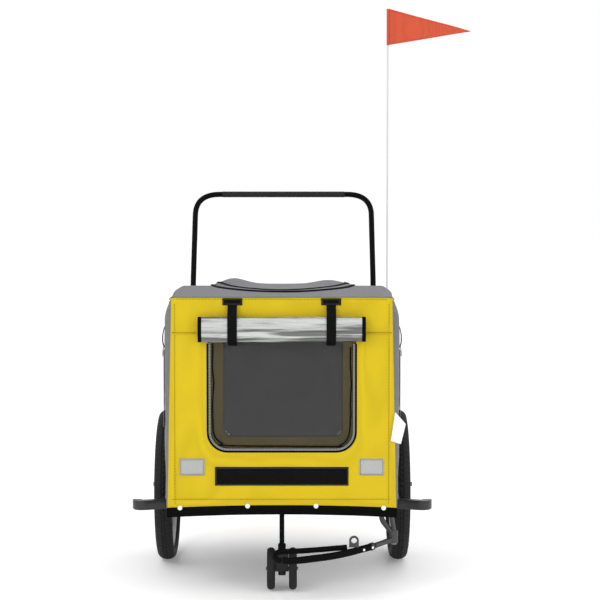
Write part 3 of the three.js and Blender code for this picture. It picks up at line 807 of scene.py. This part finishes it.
# ---- sides ----
def build_side(side, word):
    half, low, high, _ = SIDE_WINDOW
    front, rear = FRONT_Y + 1.2, REAR_Y - 3.6
    outer_half = max(SIDE_WINDOW_Y - front, rear - SIDE_WINDOW_Y)

    def on_side(y, z, out):
        return (side * (side_half(y, z) + out), y, z)

    def place(u, v, edge):
        reach = (rear - SIDE_WINDOW_Y) if u > 0 else (SIDE_WINDOW_Y - front)
        if abs(u) > half:
            u = math.copysign(half + (abs(u) - half) * (reach - half) / (outer_half - half), u)
        y, calm = SIDE_WINDOW_Y + u, min(1.0, 6 * (1 - edge))
        return on_side(y, v, -0.8 - max(0.0, wrinkle(y, side * 5, v, 95, 3.4) + 1.0) * calm)

    def net(u, v):
        return on_side(SIDE_WINDOW_Y + u, v, -3 - 4 * math.cos(u / 240 * math.pi / 2))

    slack = 1.01
    width, height = (rear - front) * slack, TOP - BOTTOM - 2
    data = holed_sheet(outer_half, BOTTOM + 1.5, TOP - 1, SIDE_WINDOW, place, 18, 220)
    sheet(f"side_cloth_{word}", data, GREY, f"side_panel_{word}", CLOTH, (width, height),
          area=width * height - 2 * half * (high - low))
    window_net(f"side_net_{word}", SIDE_MESH, f"side_mesh_{word}", SIDE_WINDOW, 48, 36, net)
    edge = [on_side(SIDE_WINDOW_Y + p.x, p.z, 0.2) for p in closed_outline(SIDE_WINDOW, 0)]
    sweep(f"side_window_binding_{word}", edge, box_section(5, 2.0, 0.9), BLACK_CLOTH, up=(side, 0, 0),
          closed=True)
    rows = [[on_side(y, z, 0.1) for y in steps(front + 6, rear - 6, 40)] for z in (TOP - 10, 222)]
    rows += [[on_side(y, z, 0.1) for z in steps(225, TOP - 14, 30)] for y in (front + 8, rear - 8)]
    stitches(f"side_stitching_{word}", rows, (side, 0, 0), GREY_THREAD)
    hem = [on_side(y, BOTTOM + 4, 0.3) for y in steps(front + 1, rear - 1, 50)]
    sweep(f"side_hem_{word}", hem, box_section(2.4, 12, 1), BLACK_CLOTH)
    for i, y in enumerate(steps(FRONT_Y + 26, REAR_Y - 40, 5)):
        build_snap(f"snap_side_{word}_{i}", on_side(y, 214, 1.3), (side, 0, 0))
    piping = [(side * (front_half(z) - 1.2), FRONT_Y + 1.4, z) for z in steps(BOTTOM, TOP - 2, 40)]
    sweep(f"corner_piping_{word}", piping, circle(2.1, 12), GREY, up=(0, 1, 0))


def spiral(turns, count, shrink, start=0.0):
    """A rolled-up section as (across, up, how far in), wound inwards from radius 1."""
    angles = [2 * math.pi * turns * t + start for t in steps(0, 1, count + 1)]
    return [(math.cos(a), math.sin(a), 1 - shrink * t) for a, t in zip(angles, steps(0, 1, count + 1))]


def wound_length(section, half_a, half_b):
    points = [(half_a * a * r, half_b * b * r) for a, b, r in section]
    return sum(math.dist(a, b) for a, b in zip(points, points[1:]))


def build_side_roll(side, word):
    """The side cover rolled up over its window and held by straps."""
    node, straps = f"side_cover_roll_{word}", (-95, 95)
    low, high = local_box(node)
    y0, y1, middle, half_z = low[1], high[1], (low[2] + high[2]) / 2, (high[2] - low[2]) / 2
    half_x = 7.5
    x_middle = min(abs(low[0]), abs(high[0])) + half_x
    section = spiral(2.6, 64, 0.62, -0.6)

    def place(y, winding):
        u, v = winding[0] * winding[2], winding[1] * winding[2]
        tight = 1 - 0.14 * max(math.exp(-((y - strap) / 16) ** 2) for strap in straps)
        r = 1 + wrinkle(y, u * 30, v * 30 + side, 45, 0.06)
        x = x_middle + (half_x - 0.6) * u * tight * min(1.0, r)
        return (side * x, y, middle + (half_z - 1) * v * tight * min(1.03, r))

    sheet(f"side_roll_{word}", grid_sheet(steps(y0, y1, 46), section, place), GREY, node, 0.8,
          (y1 - y0, wound_length(section, half_x, half_z)), "folded")
    for i, y in enumerate(straps):
        loop = [(side * (x_middle + (half_x + 0.2) * a), y, middle + (half_z - 2) * b)
                for a, b in circle(1, 28)]
        sweep(f"side_roll_strap_{word}_{i}", loop, box_section(1.3, 19, 0.4), WEBBING, up=(0, 1, 0),
              closed=True)


def build_side_trim(side, word):
    """The strap end that ties the rolled cover, and the zip beside the side window."""
    def bowed(y, places, count, shift=0.0):
        return smooth_curve([(side * (side_half(y, z) + bow), y + shift, z) for z, bow in places], count)

    y, facing = -318, (0, 1, 0)
    strap = bowed(y, ((646, 0.4), (636, 3.2), (622, 5.4), (606, 5.0), (594, 1.2)), 8)
    sweep(f"side_tie_{word}", strap, box_section(1.4, 20, 0.5), WEBBING, up=facing)
    tail = bowed(y, ((598, 3.0), (586, 5.2), (572, 5.8)), 6, 4)
    sweep(f"side_tie_tail_{word}", tail, box_section(1.0, 16, 0.4), GREY, up=facing)
    zip_y = -334
    line = [Vector((side * (side_half(zip_y, z) + 0.6), zip_y, z)) for z in steps(400, 590, 40)]
    sweep(f"side_zip_tape_{word}", line, box_section(1.2, 9, 0.4), WEBBING, up=facing)
    teeth = blocks_along([p + Vector((side * 1.1, 0, 0)) for p in line], 5, 1.6, 2.4, (1, 0, 0), 0.9)
    piece(f"side_zip_teeth_{word}", merged(teeth), ZIP_TEETH, smooth=False)


def build_tag():
    """A plain white tag in the left corner seam, hanging askew."""
    top, outer, tip, inner = (Vector(c) for c in ((273.8, 447), (299.7, 418), (288, 368.7), (263.6, 376)))

    def place(u, v):
        x, z = top.lerp(outer, u).lerp(inner.lerp(tip, u), v)
        return (x, FRONT_Y - 2.8 - 2.4 * math.sin(math.pi * v) - 1.2 * u, z)

    across = steps(0, 1, 13)
    sheet("blank_tag_flap", grid_sheet(across, across, place), TAG, None, 0.6, (27, 66), "hung", area=1750)


# ---- roof ----
FLAP_FRONT, FLAP_REAR, FLAP_HALF, FLAP_POWER = -268, 204, 195, 2.1


def flap_half(y):
    """Half width of the flap's outline at a depth: half an ellipse, widest at its rear end."""
    t = clamp((FLAP_REAR - y) / (FLAP_REAR - FLAP_FRONT))
    return FLAP_HALF * (1 - t ** FLAP_POWER) ** (1 / FLAP_POWER)


def flap_height(x, y):
    """The padded flap: two soft side bumps with a dip between them."""
    across = min(1.0, abs(x) / max(1.0, flap_half(y)))
    along = clamp((y - FLAP_FRONT) / 60) * clamp((FLAP_REAR - y) / 60)
    shoulder = math.sqrt(max(0.0, 1 - across ** 4)) * along
    bumps = 18 * math.exp(-((x + 138) / 46) ** 2) + 12 * math.exp(-((x - 130) / 50) ** 2)
    return shoulder * (3.7 + bumps * math.exp(-((y - 60) / 130) ** 2) + wrinkle(x, y, 0, 110, 1.0))


def build_roof():
    def place(u, v):
        x = u * (along_line(ROOF_LINE, v) + ROOF_LIP)
        return (x, v, roof_height(v) - 0.7 - roof_drop(x, v) - 0.5 * abs(wrinkle(x, v, 4, 100, 1.2)))

    us = [math.sin(math.pi / 2 * u) for u in steps(-1, 1, 91)]
    data = grid_sheet(us, steps(ROOF_FRONT + 1, ROOF_REAR - 1, 80), place)
    depth, widest, mean_width = ROOF_REAR - ROOF_FRONT, 580, 567
    sheet("roof_cloth", data, GREY, "roof_panel", CLOTH, (widest, depth), area=mean_width * depth)
    xs = steps(-FRONT_TOP_HALF + 1, FRONT_TOP_HALF - 1, 40)
    lip = [(x, ROOF_FRONT + 1.0, roof_height(ROOF_FRONT) - 1.6 - roof_drop(x, ROOF_FRONT)) for x in xs]
    sweep("roof_front_piping", lip, circle(2.0, 12), GREY)
    rows = [[(x, y, roof_height(y) - 0.6) for x in steps(-245, 245, 20)]
            for y in (ROOF_FRONT + 8, ROOF_REAR - 9)]
    stitches("roof_stitching", rows, (0, 0, 1), GREY_THREAD)


def flap_route(grow, lift, count=70):
    """The zip's run from the flap's right rear end, round its front, to its left rear end."""
    half = []
    for t in steps(0, 1, count + 1):
        y = FLAP_FRONT - grow + (FLAP_REAR - FLAP_FRONT + grow) * t ** 2
        half.append(Vector((flap_half(y + grow) + grow * min(1.0, t * 2.5), y, roof_height(y) + lift)))
    return [Vector((-p.x, p.y, p.z)) for p in reversed(half)] + half[1:]


def build_flap():
    def place(u, v):
        x = u * flap_half(v)
        return (x, v, roof_height(v) + 0.9 + flap_height(x, v))

    data = grid_sheet(steps(-1, 1, 81), steps(FLAP_FRONT + 1, FLAP_REAR, 92), place)
    sheet("roof_flap_cloth", data, GREY, "roof_flap", CLOTH, (395, 480), "laid", area=178000,
          rests_on=["roof_cloth"])
    sweep("roof_zip_outer", smooth_curve(flap_route(1.5, 1.2)[::2], 3), box_section(9, 5, 1.8), BLACK_CLOTH)
    teeth = blocks_along(smooth_curve(flap_route(-3.5, 2.6)[::2], 3), 3.0, 0.9, 2.2, (0, 0, 1), 0.6)
    piece("roof_zip_teeth", merged(teeth), PLASTIC, smooth=False)
    upper = [Vector((p.x * 0.955, p.y + 22, p.z)) for p in flap_route(-3.5, 0)]
    upper = [Vector((p.x, p.y, roof_height(p.y) + 1.6 + flap_height(p.x, p.y))) for p in upper if p.y < 195]
    sweep("roof_zip_inner", smooth_curve(upper[::2], 3), box_section(8, 4.5, 1.6), BLACK_CLOTH)
    x, y = 172, 150
    z = roof_height(y) + 3.2 + flap_height(x, y)
    slider = block_data((x, y, z + 1.4), (3.2, 0, 0), (0, 5.5, 0), (0, 0, 1.6))
    tab_route = [(x, y + 4, z + 3.4), (x + 1, y - 10, z + 3.0), (x + 2, y - 26, z + 1.2)]
    tab = sweep_data(tab_route, box_section(6, 1.2, 0.5))
    soften(piece("roof_zip_pull", merged([slider, tab]), PLASTIC), 0.5, 2)


# ---- things on the front ----
def build_cover_roll():
    """The rain cover: thin clear film rolled up, bound in black at both ends."""
    low, high = local_box("rain_cover_roll")
    x0, x1, count = low[0], high[0], 110
    y_middle, z_middle = (low[1] + high[1]) / 2, (low[2] + high[2]) / 2 + 3
    half_y, half_z = (high[1] - low[1]) / 2 - 0.6, (high[2] - low[2]) / 2 + 2.5
    xs = steps(x0 + 0.5, x1 - 0.5, 90)

    def place(x, winding):
        a, b, r = winding
        pinch = max(math.exp(-((x - strap) / 18) ** 2) for strap in (-119, 119))
        r *= min(1.0, 1 - 0.04 * pinch + wrinkle(x * 0.45, 22 * a, 60 * b, 42, 0.05))
        return (x, y_middle + half_y * r * a, z_middle + half_z * r * b)

    length = wound_length(spiral(3.4, count, 0.6), half_y, half_z)
    data = grid_sheet(xs, spiral(3.4, count, 0.6, 2.2), place)
    film = sheet("rain_cover_film", data, FILM, "rain_cover_roll", 0.4, (x1 - x0, length), "folded",
                 area=(x1 - x0) * length * 0.97)
    film.data.materials.append(BLACK_CLOTH)
    for polygon in film.data.polygons:
        row = polygon.index // count
        if row < 2 or row > len(xs) - 4:
            polygon.material_index = 1


def sewn_box(name, x0, x1, z0, z1, y, pitch):
    """Short stitches round a rectangle on the front."""
    box = [(x0, y, z0), (x1, y, z0), (x1, y, z1), (x0, y, z1), (x0, y, z0)]
    stitches(name, [box], (0, -1, 0), GREY_THREAD, 2.6, pitch)


def build_straps():
    for _, word in SIDES:
        low, high = local_box(f"roll_strap_{word}")
        x, face, wall = (low[0] + high[0]) / 2, low[1] + 0.8, FRONT_Y - 1.2
        between = (wall + face) / 2
        route = [(x, wall - 0.6, high[2] - 4), (x, wall - 1.4, 706), (x, between - 1, 695), (x, face, 677),
                 (x, face - 0.1, 648), (x, face, 624), (x, between, 613), (x, wall - 1.0, 608)]
        width = high[0] - low[0] - 1
        strap = sweep(f"strap_{word}", smooth_curve(route, 10), box_section(width, 1.3, 0.5), WEBBING,
                      f"roll_strap_{word}", up=(0, -1, 0))
        top, bottom, half = TOP + SEAM_LIFT - 2.5, 705, 24
        middle_z, half_z = (top + bottom) / 2, (top - bottom) / 2
        block = block_data((x, wall - 0.25, middle_z), (half, 0, 0), (0, 0, half_z), (0, 0.65, 0))
        soften(piece(f"strap_patch_{word}", block, WEBBING), 0.8)
        sewn_box(f"strap_patch_stitching_{word}", x - half + 3, x + half - 3, top - 3, bottom + 3, wall - 1.3,
                 4.2)


def build_sewn_patch(name, node, material):
    """A flat patch over a CAD node's box, with rounded edges and a row of stitches."""
    (x0, y0, z0), (x1, _, z1) = local_box(node)
    gap, inset = 0.4, 3.2

    def place(u, v):
        rim = min(u - x0, x1 - u, v - z0, z1 - v)
        return (u, y0 + 0.7 + (1 - min(1.0, rim / 5)) * 0.5 - wrinkle(u, 2, v, 60, 0.35), v)

    data = grid_sheet(steps(x0 + gap, x1 - gap, 28), steps(z0 + gap, z1 - gap, 14), place)
    sheet(name, data, material, node, 1.0, (x1 - x0, z1 - z0))
    sewn_box(f"{name}_stitching", x0 + inset, x1 - inset, z0 + inset, z1 - inset, y0 - 0.1,
             4.4)


# ---- inside ----
def build_floor_mat():
    (x0, y0, z0), (x1, y1, z1) = local_box("floor_mat")
    quilts_x, quilts_y, rounding = 4, 5, 14

    def top(u, v):
        edge = min(u - x0, x1 - u, v - y0, y1 - v)
        quilt = abs(math.sin(math.pi * quilts_x * (u - x0) / (x1 - x0))
                    * math.sin(math.pi * quilts_y * (v - y0) / (y1 - y0)))
        round_off = math.sqrt(max(0.0, 1 - (1 - min(1.0, edge / rounding)) ** 2))
        return (u, v, z0 + 3 + (z1 - z0 - 3) * round_off * (0.72 + 0.28 * quilt ** 0.4))

    us, vs = steps(x0, x1, 90), steps(y0, y1, 110)
    upper, upper_faces = grid_sheet(us, vs, top)
    lower, lower_faces = grid_sheet(us, vs, lambda u, v: (u, v, z0 + 0.3))
    count, n, m = len(upper), len(us), len(vs)
    border = ([k for k in range(m)] + [i * m + m - 1 for i in range(1, n)]
              + [(n - 1) * m + k for k in range(m - 2, -1, -1)] + [i * m for i in range(n - 2, 0, -1)])
    faces = upper_faces + [tuple(i + count for i in face) for face in lower_faces]
    faces += [(a, b, b + count, a + count) for a, b in zip(border, border[1:] + border[:1])]
    piece("floor_padding", (upper + lower, faces), PADDING, "floor_mat")


# ---- steel work ----
def build_frame():
    for name in ("front_hoop", "rear_hoop"):
        low, high = local_box(name)
        y, radius = (low[1] + high[1]) / 2, (high[1] - low[1]) / 2
        half, top = high[0] - radius, high[2] - radius
        route = polyline([(-half, y, low[2]), (-half, y, top), (half, y, top), (half, y, low[2])], 45, 12)
        sweep(f"{name}_tube", route, circle(radius - 0.2, 24), STEEL_BLACK, name, up=(0, 1, 0))
    for _, word in SIDES:
        low, high = local_box(f"roof_rail_{word}")
        x, _, z = middle_of(f"roof_rail_{word}")
        sweep(f"roof_rail_tube_{word}", [(x, y, z) for y in steps(low[1], high[1], 6)],
              circle((high[0] - low[0]) / 2 - 0.1, 24), STEEL_BLACK, f"roof_rail_{word}")


def build_handle():
    low, high = local_box("handle_bar")
    radius, knee, sides = 8, 700, 32
    half, top = high[0] - radius, high[2] - radius
    pivot_y, top_y = low[1] + radius, high[1] - radius
    route = [(-half, pivot_y, low[2]), (-half, pivot_y, knee), (-half, top_y, top), (half, top_y, top),
             (half, pivot_y, knee), (half, pivot_y, low[2])]
    sweep("handle_tube", polyline(route, 70, 16), circle(radius - 0.15, sides), STEEL_BLACK, "handle_bar",
          body="handle", up=(0, 1, 0))
    points, rings, grip_end = [], 120, half - 78
    for i, x in enumerate(steps(-grip_end, grip_end, rings)):
        ridge = 0.35 if i % 2 == 0 else -0.35
        points += [(x, top_y + a, top + b) for a, b in circle(radius + 0.55 + ridge, sides)]
    faces = lattice_faces(rings, sides, columns_close=True) + end_caps(rings, sides)
    piece("handle_grip", (points, faces), RUBBER, body="handle")


def build_knobs():
    def lobes(r, h, turn):
        return (r * (1 - 0.09 * (0.5 + 0.5 * math.cos(9 * turn))) if r > 10 else r), h

    length = 40.6
    outline = [(0, 0), (3.4, 0), (3.4, 27), (10.5, 27.4), (11.6, 28.6), (11.9, 31), (11.9, 36), (11, 38.6),
               (9, 40), (0, length)]
    for side, word in SIDES:
        node = f"handle_knob_{word}"
        low, high = local_box(node)
        start, end = sorted((abs(low[0]), abs(high[0])))
        profile = [(r, side * (start + h * (end - start) / length)) for r, h in outline]
        revolve(f"knob_{word}", profile, (0, *middle_of(node)[1:]), PLASTIC, node, segments=108, shape=lobes)


def build_guards():
    """A bent tube in front of each rear wheel, with a plug in its open end."""
    root, tail, slope = -216, -248, math.tan(math.radians(22))
    for side, word in SIDES:
        low, high = local_box(f"wheel_guard_{word}")
        size, z = high[2] - low[2], (low[2] + high[2]) / 2
        inner, outer = sorted((abs(low[0]), abs(high[0])))
        outer -= size / 2
        corner = root - (outer - inner) * slope
        route = [(side * inner, root, z), (side * outer, corner, z), (side * outer, tail, z)]
        tube = sweep_data(polyline(route, 26, 14), box_section(size - 0.4, size - 0.4, 3.5))
        soften(piece(f"guard_tube_{word}", tube, GUARD_BLACK, f"wheel_guard_{word}"), 0.8, 2)
        half = size / 2 - 0.4
        cap = block_data((side * outer, tail + 0.8, z), (half, 0, 0), (0, 1.2, 0), (0, 0, half))
        soften(piece(f"guard_plug_{word}", cap, PLASTIC), 0.9)


# ---- rear wheels ----
def build_rear_wheels():
    blocks = 90

    def tread(r, h, turn):
        phase = (turn * blocks / (2 * math.pi) + (0.5 if h > 0 else 0)) % 1
        return (r - 1.6 if r > 195 and phase < 0.28 else r), h

    half = [(169.5, 11), (172, 14.5), (175, 19), (179, 22), (184, 22.9), (189, 21.8), (192.5, 19.5),
            (195.5, 15.5), (197.9, 11.5), (198.9, 8), (199.6, 5), (197.6, 4.4), (197.6, 2.6), (199.9, 2.2)]
    rim = [(151, -6), (158, -10.5), (163, -13.2), (169.6, -14.2), (169.8, -12.6), (169, -11.2), (166, -9)]
    for _, word in SIDES:
        body, centre = f"{word}_wheel", middle_of(f"rear_tyre_{word}")
        low, high = local_box(f"rear_tyre_{word}")
        tyre = [(r, -h) for r, h in half] + [((high[2] - low[2]) / 2, 0)] + half[::-1]
        revolve(f"tyre_{word}", tyre, centre, RUBBER, f"rear_tyre_{word}", body, segments=540, shape=tread)
        profile = rim + [(165.5, 0)] + [(r, -h) for r, h in reversed(rim)] + [(150.3, 0)]
        revolve(f"rim_{word}", profile, centre, STEEL_GREY, f"rear_rim_{word}", body, segments=160)
        build_hub(word, body, centre)
        ends = [corner[0] for corner in local_box(f"axle_nut_{word}")]
        nut = [(x, a, centre[2] + b) for x in ends for a, b in circle(11, 6)]
        nut_faces = lattice_faces(2, 6, columns_close=True) + end_caps(2, 6)
        soften(piece(f"nut_{word}", (nut, nut_faces), STEEL_GREY, f"axle_nut_{word}", smooth=False), 0.8, 2)


def build_hub(word, body, centre):
    half = [(6.4, -28), (10.4, -28), (11, -27.4), (12, -24), (24.4, -23), (25, -22.4), (25, -20),
            (24.4, -19.2), (14, -17), (13, -15)]
    shell = half + [(12.4, 0)] + [(r, -h) for r, h in reversed(half)]
    parts, centre = [revolve_data(shell, centre, segments=72)], Vector(centre)
    spokes, flange, rim_radius, lacing = 28, 21, 150.5, 0.55
    for i in range(spokes):
        angle = 2 * math.pi * i / spokes
        lace = angle + (lacing if i % 4 < 2 else -lacing)
        row = flange if i % 2 else -flange
        start = centre + Vector((row, 22 * math.cos(lace), 22 * math.sin(lace)))
        end = centre + Vector((row * 0.12, rim_radius * math.cos(angle), rim_radius * math.sin(angle)))
        nipple = end + (start - end).normalized() * 9
        parts += [sweep_data([start, end], circle(1.15, 8)), sweep_data([end, nipple], circle(2.0, 8))]
    piece(f"hub_{word}", merged(parts), STEEL_GREY, f"rear_hub_{word}", body=body)


# ---- caster ----
def build_caster():
    for _, word in SIDES:
        node, body = f"caster_wheel_{word}", f"caster_{word}"
        low, high = local_box(node)
        w = (high[0] - low[0]) / 2
        profile = [(r, h - w) for r, h in (
            (4.3, 0), (11, 0), (13, 0.8), (14.5, 3.6), (37, 3.6), (38.6, 0.8), (40.5, 0), (45, 0), (48, 1.4),
            (50.2, 4.2), (51.2, 7), (51.45, w))]
        profile += [(r, -h) for r, h in reversed(profile[:-1])]
        revolve(f"caster_tyre_{word}", profile, middle_of(node), RUBBER, node, body, segments=120)
        ribs = []
        for a, b in circle(1, 10):
            out, across = Vector((0, a, b)), Vector((0, -b, a))
            for end in (-1, 1):
                place = Vector(middle_of(node)) + out * 25.5 + Vector((end * (w - 3.0), 0, 0))
                ribs.append(block_data(place, out * 11.5, across * 1.1, (1.2, 0, 0)))
        piece(f"caster_ribs_{word}", merged(ribs), PLASTIC, body=body, smooth=False)


# ---- tow arm ----
def build_tow_arm():
    seam = Vector((222.5, -437, 120.7))
    arm = [seam, (192.6, -455, 116.4), (160.5, -472, 111.7), (114.4, -488, 105.9), (35.3, -500, 98.6),
           (2, -501, 98.4)]
    sweep("tow_arm_bar", smooth_curve(arm, 14), circle(8.6, 28), STEEL_BLACK, "tow_arm_tube", body="tow_arm")
    along = (Vector(arm[1]) - seam).normalized()
    sweep("tow_arm_collar", [seam + along * d for d in (1.0, 9.0)], circle(9.6, 28), ARM_GREY, body="tow_arm")
    away = Vector((0.51, -0.86, 0)).normalized()
    for i, place in enumerate(((215, -441.5, 119.4), (193.5, -454.4, 116.5))):
        ends = [Vector(place) + away * d for d in (8.0, 10.2)]
        sweep(f"tow_arm_pin_{i}", ends, circle(3.0, 18), BRIGHT, body="tow_arm")
    hook = [(-0.5, -501, 98.4), (-9, -499.5, 99.2), (-17, -489, 105), (-10, -476, 112.4), (4, -471, 114),
            (60, -466, 115.6), (157, -452, 120.6)]
    sweep("hitch_hook_rod", smooth_curve(hook, 14), circle(6.7, 24), STEEL_BLACK, "hitch_hook",
          body="tow_arm")


# ---- flag ----
def build_flag():
    (x0, _, z0), (x1, _, z1) = local_box("flag")
    pole_x, pole_y, _ = middle_of("flag_pole")
    (_, _, pole_low), (_, _, pole_high) = local_box("flag_pole")
    tip_below_pole = 65
    flag_y, tip_z = middle_of("flag")[1], pole_high - tip_below_pole

    def place(u, v):
        top, bottom = z1 + (tip_z - z1) * u, z0 + (tip_z - z0) * u
        x = x0 + (x1 - x0) * u
        ripple = 5.5 * u * math.sin(2.1 * math.pi * u) + wrinkle(x, 0, v * 60, 70, 2.0) * u
        return (x, flag_y + ripple, bottom + (top - bottom) * v)

    sheet("pennant", grid_sheet(steps(0, 0.985, 60), steps(0, 1, 22), place), PENNANT, "flag", 0.8,
          (x1 - x0, z1 - z0), "hung", area=(x1 - x0) * (z1 - z0) / 2)
    rod = [(pole_x, pole_y, z) for z in steps(pole_low, pole_high - 1.5, 40)]
    sweep("flag_rod", rod, circle(2.45, 20), ROD, "flag_pole", up=(0, 1, 0))
    sleeve = [(pole_x, pole_y, z) for z in steps(z0 - 1, z1 - 1, 12)]
    sweep("pennant_sleeve", sleeve, circle(3.4, 24), PENNANT, up=(0, 1, 0))
    rows = [[Vector(place(u, v)) + Vector((0, -0.6, 0)) for u in steps(0.03, 0.9, 30)] for v in (0.06, 0.94)]
    stitches("pennant_stitching", rows, (0, -1, 0), PENNANT_HEM, 2.4, 4)


# ---- plain CAD pieces keep their shape and take a finish ----
def dress_cad_nodes():
    own = dict.fromkeys(("tow_arm_joint", "tow_bracket", "tow_eye"), ARM_GREY)
    slots = {part["node"]: part["material_slot"] for part in frame["record"]["subparts"]}
    for name, node in frame["nodes"].items():
        node.data.materials.clear()
        node.data.materials.append(own.get(name, FINISHES[slots[name]][0]))


dress_cad_nodes()
build_front_panel()
build_door_mesh()
build_door_zip()
build_rear_panel()
build_skirt()
for side_sign, side_word in SIDES:
    build_side(side_sign, side_word)
    build_side_roll(side_sign, side_word)
    build_side_trim(side_sign, side_word)
build_tag()
build_roof()
build_flap()
build_cover_roll()
build_straps()
for _, side_word in SIDES:
    build_sewn_patch(f"reflective_patch_{side_word}", f"reflector_{side_word}", TAPE)
build_sewn_patch("front_webbing_band", "front_webbing", WEBBING)
build_floor_mat()
build_frame()
build_handle()
build_knobs()
build_guards()
build_rear_wheels()
build_caster()
build_tow_arm()
build_flag()
